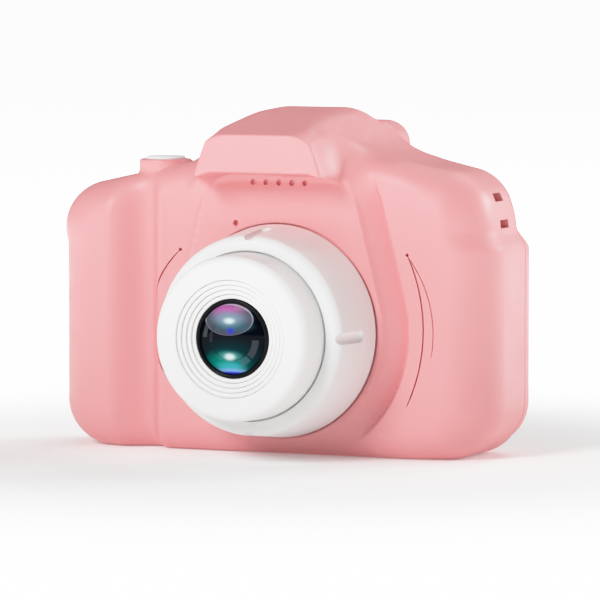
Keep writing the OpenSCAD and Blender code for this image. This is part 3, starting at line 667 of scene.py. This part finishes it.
def lens_painted_reflections(name):
    """Dark glass dome painted with reflections: a painted rose sheen above, a painted teal glow below,
    painted soft sheens and painted highlights.

    Places and sizes are in millimetres from the middle of the lens, seen from the front.
    """
    mat, shader = new_material(name)
    centre = (LENS_X * MM, 0, LENS_Z * MM)
    flat = add(mat, "VectorMath", operation="MULTIPLY", i0=object_place(mat), i1=(1, 0, 1)).outputs[0]
    local = add(mat, "VectorMath", operation="SUBTRACT", i0=flat, i1=centre).outputs[0]
    unit = add(mat, "VectorMath", operation="NORMALIZE", i0=local).outputs[0]

    def blob(x, z, wide, high, edge):
        """Mask of an ellipse with a soft edge."""
        scale = (1 / (wide * MM), 0, 1 / (high * MM))
        moved = add(mat, "VectorMath", operation="SUBTRACT", i0=local, i1=(x * MM, 0, z * MM)).outputs[0]
        sized = add(mat, "VectorMath", operation="MULTIPLY", i0=moved, i1=scale).outputs[0]
        size = add(mat, "VectorMath", operation="LENGTH", i0=sized).outputs["Value"]
        return remap(mat, size, 1 - edge, 1 + edge, 1, 0)

    def band(inner, outer, angle, half):
        """Mask of a piece of a ring, which reaches half degrees to either side of an angle."""
        turn, reach = math.radians(angle), math.cos(math.radians(half))
        middle = (math.cos(turn), 0, math.sin(turn))
        facing = add(mat, "VectorMath", operation="DOT_PRODUCT", i0=unit, i1=middle).outputs["Value"]
        wedge = remap(mat, facing, reach - 0.006, reach + 0.006, 0, 1)
        ring = times(mat, blob(0, 0, outer, outer, 0.012), blob(0, 0, inner, inner, 0.015), "SUBTRACT")
        return times(mat, wedge, ring)

    # painted sheen of a light reflected in the upper half, with a brighter painted rim round its edge
    upper_painted_sheen = blob(-0.5, 3.2, 4.4, 2.6, 0.015)
    rim = times(mat, upper_painted_sheen, blob(-0.5, 3.1, 4.24, 2.48, 0.03), "SUBTRACT")
    # every layer is painted reflection or painted highlight: glows low down, sheens above, arcs of reflected
    # light on the coating, and bright spots
    layers = [
        (blob(0, -3.6, 4.4, 2.6, 0.8), (0.0, 0.025, 0.03)),
        (blob(-0.9, -4.1, 2.9, 1.6, 0.75), (0.0, 0.16, 0.125)),
        (times(mat, band(3.5, 3.7, -95, 60), 0.7), (0.0, 0.01, 0.015)),
        (blob(-0.2, -4.7, 2.1, 0.8, 0.7), (0.03, 0.27, 0.3)),
        (blob(0, -5.35, 2.3, 0.4, 0.8), (0.14, 0.28, 0.55)),
        (blob(0, -5.72, 2.6, 0.26, 0.7), (0.02, 0.02, 0.4)),
        (times(mat, upper_painted_sheen, 0.4), (0.13, 0.13, 0.17)),
        (blob(-0.9, 4.7, 2.4, 1.0, 0.8), (0.34, 0.08, 0.27)),
        (blob(-0.4, 3.5, 2.7, 1.0, 0.8), (0.13, 0.18, 0.25)),
        (blob(0.2, 2.2, 2.6, 0.8, 0.8), (0.03, 0.09, 0.12)),
        (times(mat, rim, 0.6), (0.35, 0.35, 0.42)),
        (times(mat, blob(-0.3, 3.0, 1.7, 0.8, 0.9), 0.6), (0.2, 0.3, 0.36)),
        (blob(-0.3, 3.0, 0.8, 0.4, 0.9), (0.5, 0.62, 0.64)),
        (blob(0, 1.35, 0.5, 0.45, 0.9), (0.03, 0.03, 0.42)),
        (times(mat, band(4.5, 5.3, 160, 18), 0.6), (0.06, 0.065, 0.075)),
        (times(mat, band(3.4, 4.0, 168, 22), 0.4), (0.03, 0.035, 0.045)),
        (times(mat, band(3.8, 4.9, -21, 20), 0.6), (0.05, 0.055, 0.065)),
        (times(mat, band(3.8, 4.9, -57, 12), 0.5), (0.05, 0.11, 0.13)),
        (times(mat, blob(-0.2, -2.85, 1.6, 0.65, 0.8), 0.6), (0.1, 0.3, 0.3)),
        (blob(-0.2, -2.95, 0.8, 0.48, 0.8), (0.5, 0.62, 0.62)),
    ]
    colour = blend_colour(mat, noise(mat, 300, 2), (0.0005, 0.001, 0.003), (0.001, 0.002, 0.005))
    for mask, tint in layers:
        colour = blend_colour(mat, mask, colour, tint)
    feed(mat, colour, shader.inputs["Base Color"])
    # the painted reflections also feed the emission, so the lens glows a little though it is no lamp
    feed(mat, colour, shader.inputs["Emission Color"])
    feed(mat, remap(mat, noise(mat, 400, 4), 0.4, 0.8, 0.03, 0.07), shader.inputs["Roughness"])
    shader.inputs["Emission Strength"].default_value = 0.35
    shader.inputs["Specular IOR Level"].default_value = 0.04
    return mat


PINK = (0.84, 0.325, 0.335)
WHITE = (0.86, 0.86, 0.855)
LOOKS = {
    "pink_gloss_plastic": plastic("pink_gloss_plastic", PINK, 0.46, vary=0.018),
    "white_gloss_plastic": plastic("white_gloss_plastic", WHITE, 0.42, 0.006, wave=5e-6,
                                   Specular_IOR_Level=0.28),
    "pink_soft_rubber": plastic("pink_soft_rubber", [c * 0.94 for c in PINK], 0.55, grain=6e-6),
    "black_plastic": plastic("black_plastic", (0.012, 0.012, 0.014), 0.24, wear=0.08),
    "lens_black": plastic("lens_black", (0.004, 0.004, 0.005), 0.3, wear=0.02, Specular_IOR_Level=0.1),
    "clear_glass": glass("clear_glass", (0.9, 0.93, 0.95)),
    "chip_black": plastic("chip_black", (0.03, 0.03, 0.033), 0.5, grain=8e-6, wear=0.1),
    "circuit_board": board("circuit_board"),
    "ribbon": plastic("ribbon", (0.6, 0.27, 0.04), 0.35, wear=0.05),
    "connector_plastic": plastic("connector_plastic", (0.75, 0.72, 0.64), 0.45, wear=0.05),
    "steel": metal("steel", (0.62, 0.63, 0.65), 0.3),
    "battery_foil": metal("battery_foil", (0.7, 0.72, 0.74), 0.38, scratch=300, depth=1.2e-5),
    "foam_rubber": foam("foam_rubber", (0.06, 0.06, 0.065)),
    "lead_insulation": plastic("lead_insulation", (0.5, 0.03, 0.03), 0.4, wear=0.05),
    "display_dark": plastic("display_dark", (0.01, 0.011, 0.014), 0.12, wear=0.0, wave=3e-6),
    "light_guide": plastic("light_guide", (0.85, 0.84, 0.8), 0.35, wear=0.02, Transmission_Weight=0.3),
    "lens_painted_reflections": lens_painted_reflections("lens_painted_reflections"),
    "key_print": plastic("key_print", (0.3, 0.3, 0.32), 0.45, wear=0.05),
}


def finish_with(obj, look):
    obj.data.materials.clear()
    obj.data.materials.append(LOOKS[look])


def piece(obj, body, slot, nodes=(), look=None):
    """Makes a mesh a piece of the object: its finish, its body and the CAD nodes it stands for."""
    finish_with(obj, look or slot)
    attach(obj, body)
    if nodes:
        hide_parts(*nodes)
    return obj


piece(front_case(), "case", "pink_gloss_plastic", ["front_shell"])
piece(rear_case(), "case", "pink_gloss_plastic", ["rear_shell"])


# ---- lens ----
LENS = (LENS_X, 0, LENS_Z)
RING_R, RING_FRONT_R, RING_EDGE = 18.0, 16.8, 1.8
BARREL_R, BARREL_EDGE = 14.0, 1.5
BORE_R, TERRACE_W, TERRACE_H = 6.65, 0.8, 0.3
DOME_R, DOME_H = 5.8, 0.9
SLOT_R, SLOT_LENGTH, SLOT_OUT = 1.05, 8.3, 16.85


def lens_ring():
    """Outer ring: a hollow cup with a collar behind, a narrow gap round the barrel and four slots."""
    inner, seat, gap = RING_FRONT_R - 2, BARREL_R - 2, BARREL_R + 0.26
    profile = [(NECK_IN_R, PANEL_Y - 3), (inner, PANEL_Y - 3), (inner, RING_Y + 1.8), (seat, RING_Y + 1.8)]
    profile += [(seat, RING_Y), (BARREL_R - 0.1, RING_Y), (BARREL_R, RING_Y + 0.8), (gap, RING_Y + 0.8)]
    profile += arc(gap + 0.15, RING_Y + 0.15, 0.15, 180, 270, 4)
    profile += arc(RING_FRONT_R - RING_EDGE, RING_Y + RING_EDGE, RING_EDGE, -90, -5.5, 14)
    profile += [(RING_R, PANEL_Y - 0.25), (RING_R - 0.4, PANEL_Y - 0.1), (RING_R - 0.4, PANEL_Y)]
    profile += [(NECK_R, PANEL_Y), (NECK_R, PANEL_Y + 2.4), (NECK_IN_R, PANEL_Y + 2.4)]
    ring = turned("ring_housing", profile, LENS, steps=160, closed=True)
    slope = (RING_R - RING_FRONT_R) / (PANEL_Y - RING_Y)
    finger = [(0, 0), (SLOT_R, 0)] + arc(0, SLOT_LENGTH, SLOT_R, 0, 90, 8)
    slots = []
    for x, z in ((0, 1), (1, 0), (0, -1), (-1, 0)):
        start = (LENS_X + x * SLOT_OUT, RING_Y - 1, LENS_Z + z * SLOT_OUT)
        slots.append(turned("tool", finger, start, (x * slope, 1, z * slope), 40))
    return cut(ring, slots)


def lens_barrel():
    """Inner barrel: a hollow cup with a domed edge, whose front steps down to the glass in four terraces."""
    tail = RING_Y + 2.4
    profile = [(BARREL_R, RING_Y), (BARREL_R - 2.1, RING_Y), (BARREL_R - 2.1, tail), (BARREL_R - 3.6, tail),
               (BARREL_R - 3.6, FRONT_Y + 3.6), (8, FRONT_Y + 3.6), (8, tail), (5, tail), (5, FRONT_Y + 4.6),
               (BORE_R, FRONT_Y + 4.6), (BORE_R, FRONT_Y + 4 * TERRACE_H + 0.1),
               (BORE_R + 0.1, FRONT_Y + 4 * TERRACE_H)]
    for k in range(4):
        r = BORE_R + (k + 1) * TERRACE_W
        foot = FRONT_Y + (4 - k) * TERRACE_H
        lip = foot - TERRACE_H
        profile += [(r - 0.2, foot), (r - 0.08, foot + 0.24), (r, foot - 0.02)]
        profile += arc(r + 0.1, lip + 0.1, 0.1, 180, 270, 4)
    profile += arc(BARREL_R - 0.2 - BARREL_EDGE, FRONT_Y + BARREL_EDGE, BARREL_EDGE, -90, -2, 14)
    return settle(turned("barrel_housing", profile, LENS, steps=160, closed=True))


def lens_bezel():
    profile = [(4.9, FRONT_Y + 4.5), (6.6, FRONT_Y + 4.5)]
    profile += arc(6.25, FRONT_Y + 1.25, 0.35, 0, -180, 12)
    profile += [(5.86, FRONT_Y + 2.0), (5.5, FRONT_Y + 2.1), (5.4, FRONT_Y + 2.4), (4.9, FRONT_Y + 2.6)]
    return settle(turned("bezel_ring", profile, LENS, steps=128, closed=True))


def lens_dome():
    ball = (DOME_R ** 2 + DOME_H ** 2) / (2 * DOME_H)
    half = math.degrees(math.asin(DOME_R / ball))
    apex = FRONT_Y + 1.3 - DOME_H
    cap = arc(0, apex + ball, ball, -90 + half, -90, 24)
    cap[-1] = (0, apex)  # exactly on the axis
    return settle(turned("lens_dome", [(0, FRONT_Y + 1.9), (DOME_R, FRONT_Y + 1.9)] + cap, LENS, steps=128))


piece(lens_ring(), "case", "white_gloss_plastic", ["lens_ring"])
piece(lens_barrel(), "case", "white_gloss_plastic", ["lens_barrel"])
piece(lens_bezel(), "case", "black_plastic", ["lens_bezel"], "lens_black")
piece(lens_dome(), "case", "clear_glass", ["front_glass"], "lens_painted_reflections")


# ---- buttons ----
def shutter_button():
    r, top, low = 3.4, 50.0, 49.2
    stem = [(0, low - 7), (1.4, low - 7), (1.4, low - 4.2)]
    profile = stem + [(r + 0.8, low - 4.2), (r + 0.8, low - 3.3), (r, low - 3.3)]
    profile += arc(r - 0.4, top - 0.4, 0.4, 0, 90, 6)
    profile += [(r - 0.8, top - 0.02), (r - 1.6, top - 0.1), (0, top - 0.18)]
    return settle(turned("shutter_cap", profile, (*SHUTTER, 0), (0, 0, 1), 80))


def key_cap(name, place):
    top, inner = BACK_Y + 0.9, BACK_Y - WALL
    stem = [(0, 13.1), (1, 13.1), (1, inner - 1.2)]
    profile = stem + [(KEY_R + 0.6, inner - 1.2), (KEY_R + 0.6, inner - 0.3), (KEY_R, inner - 0.3)]
    profile += arc(KEY_R - 0.35, top - 0.35, 0.35, 0, 90, 6)
    profile += [(KEY_R - 0.6, top - 0.03), (KEY_R - 1.1, top - 0.12), (0, top - 0.2)]
    return settle(turned(name, profile, (place[0], 0, place[1]), steps=64))


def circle_band(r, thick, start, end, steps=20):
    return arc(0, 0, r, start, end, steps) + arc(0, 0, r - thick, end, start, steps)


def arrow(turn):
    points = [(0.95, 0), (-0.45, 0.85), (-0.2, 0), (-0.45, -0.85)]
    c, s = math.cos(math.radians(turn)), math.sin(math.radians(turn))
    return [[(x * c - z * s, x * s + z * c) for x, z in points]]


def bar(x, z, w, h):
    return round_rect(x, z, w, h, min(w, h) / 2.01, 4)


# seen from the back, +X is to the left
MARKS = {
    "power": [circle_band(1.05, 0.24, 125, 415), bar(0, 0.75, 0.24, 1.0)],
    "menu": [bar(0, z, 1.9, 0.28) for z in (-0.65, 0, 0.65)],
    "up": arrow(90), "down": arrow(270), "left": arrow(0), "right": arrow(180),
    "ok": [circle_band(1.1, 0.26, 0, 180), circle_band(1.1, 0.26, 180, 360)],
}


def key_mark(name, outlines, place):
    moved = [[(x + place[0], z + place[1]) for x, z in outline] for outline in outlines]
    return settle(prisms(name, moved, BACK_Y + 0.62, BACK_Y + 0.79))


piece(shutter_button(), "shutter", "white_gloss_plastic", ["shutter_button"])
for node, place in KEYS.items():
    word = node.split("_")[0]
    piece(key_cap(word + "_cap", place), word + "_key", "white_gloss_plastic", [node])
    piece(key_mark(word + "_mark", MARKS[word], place), word + "_key", "black_plastic", look="key_print")


# ---- port cover ----
def port_cover():
    slab = bevel(prism("side_cover", round_rect(9, 22.37, 9, 21.25, 1.0), -40, -38.5, "x"), 0.3)
    foot = block("tool", (-40, 4.5, 11.75), (-38.5, 13.5, 14))
    bead = turned("tool", [(0, 4.5), (0.75, 4.5), (0.75, 13.5), (0, 13.5)], HINGE, steps=40)
    cut(slab, [foot, bead], "UNION")
    nick = turned("tool", [(0, 5.5), (2.2, 7.2), (2.2, 10.8), (0, 12.5)], (-41.75, 0, 31.2), steps=40)
    return cut(slab, [nick])


piece(port_cover(), "cover", "pink_soft_rubber", ["port_cover"])


# ---- back windows ----
def window(name, x, z, w, h, r, low, high, edge):
    return bevel(prism(name, round_rect(x, z, w, h, r), low, high), edge)


screen = window("screen_pane", *WINDOW, 0.8, BACK_Y - 1.4, BACK_Y, 0.25)
eyepiece = window("eyepiece_pane", *EYEPIECE, 1.1, EYE_Y - 0.8, EYE_Y - 0.15, 0.2)
piece(screen, "case", "clear_glass", ["screen_window"])
piece(eyepiece, "case", "clear_glass", ["eyepiece_window"], "display_dark")

# ---- finishes of the CAD nodes that stay ----
NODE_LOOKS = {
    "black_plastic": ["aperture_plate", "lens_holder", "screen_border", "microphone_boot"],
    "clear_glass": ["lens_element_front", "lens_element_rear"],
    "chip_black": [
        "image_sensor", "board_chips", "key_switches", "shutter_switch", "speaker", "memory_card",
    ],
    "circuit_board": ["sensor_board", "main_board", "shutter_board"],
    "ribbon": ["sensor_flex", "display_flex"],
    "connector_plastic": ["flex_connectors", "display_backlight"],
    "steel": ["usb_socket", "card_socket", "case_screws", "board_screws", "lens_screws", "microphone"],
    "battery_foil": ["battery"],
    "foam_rubber": ["battery_pad", "display_gasket"],
    "lead_insulation": ["battery_leads", "speaker_leads"],
    "display_dark": ["display_glass"],
    "light_guide": ["charge_light"],
}
for look, names in NODE_LOOKS.items():
    for name in names:
        finish_with(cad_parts[name], look)


# ---- stage, lights and camera ----
def pale_floor(size=40.0):
    """White floor that glows more further from the object, and so fades into a white background."""
    mesh = bpy.data.meshes.new("floor")
    corners = [(-size, -size, 0), (size, -size, 0), (size, size, 0), (-size, size, 0)]
    mesh.from_pydata(corners, [], [(0, 1, 2, 3)])
    floor = link("floor", mesh)
    mat, shader = new_material("floor")
    tint = blend_colour(mat, noise(mat, 6, 2), (0.93, 0.93, 0.93), (0.95, 0.95, 0.95))
    feed(mat, tint, shader.inputs["Base Color"])
    away = add(mat, "VectorMath", operation="LENGTH", i0=object_place(mat)).outputs["Value"]
    feed(mat, remap(mat, away, 0.05, 0.17, 0.17, 1.5), shader.inputs["Emission Strength"])
    shader.inputs["Emission Color"].default_value = (1, 1, 1, 1)
    shader.inputs["Roughness"].default_value = 0.85
    mesh.materials.append(mat)


def soft_box(name, place, size, power):
    """Square area light that faces the middle of the object."""
    data = bpy.data.lights.new(name, "AREA")
    data.size, data.energy = size, power
    lamp = link(name, data)
    lamp.location = place
    lamp.rotation_euler = (Vector((0, 0, 0.03)) - Vector(place)).to_track_quat("-Z", "Y").to_euler()


def sky(horizon, zenith, strength):
    """Dim studio surround, a little darker overhead."""
    world = bpy.data.worlds.new("surround")
    bpy.context.scene.world = world
    world.use_nodes = True
    up = add(world, "SeparateXYZ", Vector=add(world, "TexCoord").outputs["Generated"]).outputs["Z"]
    shade = blend_colour(world, remap(world, up, 0.15, 0.9, 0, 1), horizon, zenith)
    background = world.node_tree.nodes["Background"]
    feed(world, shade, background.inputs["Color"])
    background.inputs["Strength"].default_value = strength


def soft_shoulder(knee=0.6, softness=0.4, white=3.0):
    """Gives the picture the response of a camera, whose highlights roll off gently into white."""
    view = bpy.context.scene.view_settings
    view.view_transform = "Standard"
    view.use_curve_mapping = True
    tones = view.curve_mapping
    tones.white_level = (white, white, white)
    levels = [knee] + [knee + 0.15 * k for k in range(1, 12)]
    points = tones.curves[3].points
    for level in levels:
        points.new(level / white, 1 - (1 - knee) * math.exp((knee - level) / softness))
    tones.update()


def photo_camera(azimuth=24.6, elevation=4.18, distance=847.4, aim=(0, 0, 28)):
    """Long lens seen from a little to the right of the front and a little above."""
    a, e = math.radians(azimuth), math.radians(elevation)
    back = Vector((math.sin(a) * math.cos(e), -math.cos(a) * math.cos(e), math.sin(e)))
    data = bpy.data.cameras.new("camera")
    data.lens, data.sensor_width = 300.3, 36.0
    data.shift_x, data.shift_y = 0.0471, -0.018
    camera = link("camera", data)
    camera.location = (Vector(aim) + back * distance) * MM
    camera.rotation_euler = (-back).to_track_quat("-Z", "Y").to_euler()
    bpy.context.scene.camera = camera


soft_shoulder()
pale_floor()
sky((1, 1, 1), (0.9, 0.9, 0.9), 0.15)
soft_box("key", (-0.24, -0.92, 0.6), 0.35, 8.0)
soft_box("rim", (0.67, 0.74, 0.37), 0.4, 5.6)
soft_box("back", (0.2, 0.75, 1.0), 0.5, 3.7)
soft_box("top", (0, -0.05, 1.2), 0.6, 2)
photo_camera()
